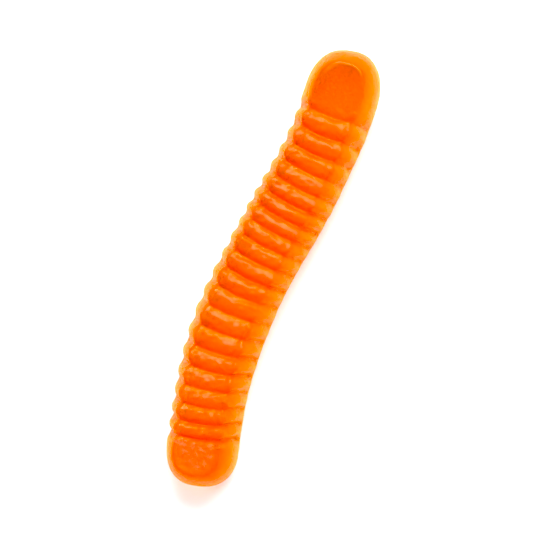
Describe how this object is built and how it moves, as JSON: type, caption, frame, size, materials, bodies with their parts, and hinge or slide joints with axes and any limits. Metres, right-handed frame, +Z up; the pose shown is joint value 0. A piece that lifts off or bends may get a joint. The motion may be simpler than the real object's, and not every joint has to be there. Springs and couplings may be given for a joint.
{
  "type": "gummy worm",
  "caption": "Slender worm of translucent orange fruit gel with a ribbed top, smooth rounded head and tail, and a flat back, lying in a gentle S.",
  "frame": {"origin": "on the surface that the worm lies on, under the middle of its bounding box", "axes": "+X along the worm towards its head, +Z up through its ribbed top, +Y across it"},
  "size_m": [0.0572, 0.0142, 0.0075],
  "materials": {
    "orange_gel": "translucent orange gel, soft gloss"
  },
  "bodies": {
    "root": {"gummy_worm": "orange_gel"}
  },
  "joints": []
}
